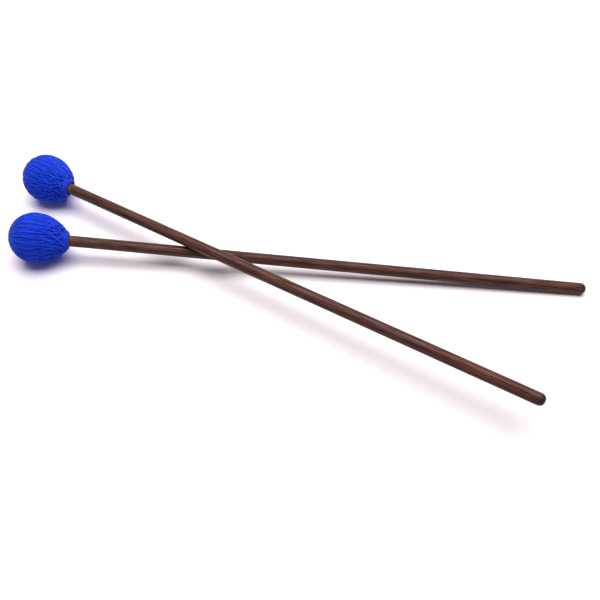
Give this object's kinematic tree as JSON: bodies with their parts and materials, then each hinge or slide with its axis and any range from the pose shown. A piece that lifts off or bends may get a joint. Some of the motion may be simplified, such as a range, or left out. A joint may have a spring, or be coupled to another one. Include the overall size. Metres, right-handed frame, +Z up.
{
  "type": "marimba mallet pair",
  "caption": "Blue yarn-wound marimba mallets with stained round wooden shafts, laid crossed with one resting on the other, for striking tuned bars.",
  "frame": {"origin": "on the surface that the pair lies on, under the middle of the pair's bounding box", "axes": "+Z up; +X along the lower mallet in plan, from its crown to its butt; the upper mallet crosses it, its butt towards -Y"},
  "size_m": [0.421, 0.1888, 0.0363],
  "materials": {
    "stained_wood": "satin varnish over dark red-brown stain",
    "core_rubber": "matte moulded",
    "inner_yarn": "wound yarn, inner layers",
    "blue_yarn": "soft plied yarn"
  },
  "bodies": {
    "lower_mallet": {"lower_shaft": "stained_wood", "lower_core": "core_rubber", "lower_under_winding": "inner_yarn", "lower_outer_winding": "blue_yarn", "lower_neck_binding": "blue_yarn", "lower_crown_stitch": "blue_yarn"},
    "upper_mallet": {"upper_shaft": "stained_wood", "upper_core": "core_rubber", "upper_under_winding": "inner_yarn", "upper_outer_winding": "blue_yarn", "upper_neck_binding": "blue_yarn", "upper_crown_stitch": "blue_yarn"}
  },
  "joints": [
    {"name": "upper_mallet_lift", "type": "slide", "parent": "lower_mallet", "child": "upper_mallet", "axis": [0, 0, 1], "range_m": [0, 0.08]}
  ]
}
